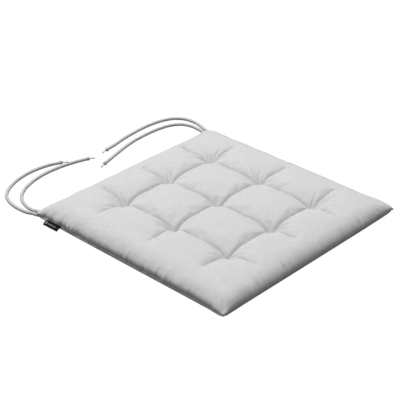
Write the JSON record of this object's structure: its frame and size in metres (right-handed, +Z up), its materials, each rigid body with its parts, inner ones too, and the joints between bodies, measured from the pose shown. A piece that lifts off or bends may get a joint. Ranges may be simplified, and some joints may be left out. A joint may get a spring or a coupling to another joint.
{
  "type": "chair seat pad",
  "caption": "Square tufted seat pad with a flat underside, a soft crown, tie cords at the rear corners and a small folded side label.",
  "frame": {"origin": "on the surface the pad lies on, under the middle of the outline with its label; the middle of the pad itself is 3.38 mm to the right, at x = 0.00338", "axes": "+X to the right seen from the front edge, +Y towards the rear edge with the ties, +Z up out of the seat side"},
  "size_m": [0.4266, 0.5249, 0.0318],
  "materials": {
    "cover_cloth": "matt woven cotton",
    "wadding": "loose fibre sheet",
    "foam": "open-cell foam",
    "thread": "twisted thread",
    "tie_cord": "round cotton cord",
    "label_cloth": "satin woven tape"
  },
  "bodies": {
    "root": {"cover_top": "cover_cloth", "cover_bottom": "cover_cloth", "wadding_top": "wadding", "foam_core": "foam", "wadding_bottom": "wadding", "tuft_stitch_r1c1": "thread", "tuft_stitch_r1c2": "thread", "tuft_stitch_r1c3": "thread", "tuft_stitch_r2c1": "thread", "tuft_stitch_r2c2": "thread", "tuft_stitch_r2c3": "thread", "tuft_stitch_r3c1": "thread", "tuft_stitch_r3c2": "thread", "tuft_stitch_r3c3": "thread", "tie_left_outer": "tie_cord", "tie_left_inner": "tie_cord", "tie_right_outer": "tie_cord", "tie_right_inner": "tie_cord", "knot_left_outer": "tie_cord", "knot_left_inner": "tie_cord", "knot_right_outer": "tie_cord", "knot_right_inner": "tie_cord", "tail_left_outer": "tie_cord", "tail_left_inner": "tie_cord", "tail_right_outer": "tie_cord", "tail_right_inner": "tie_cord", "closing_hem": "cover_cloth", "closing_stitch": "thread", "label": "label_cloth"}
  },
  "joints": []
}
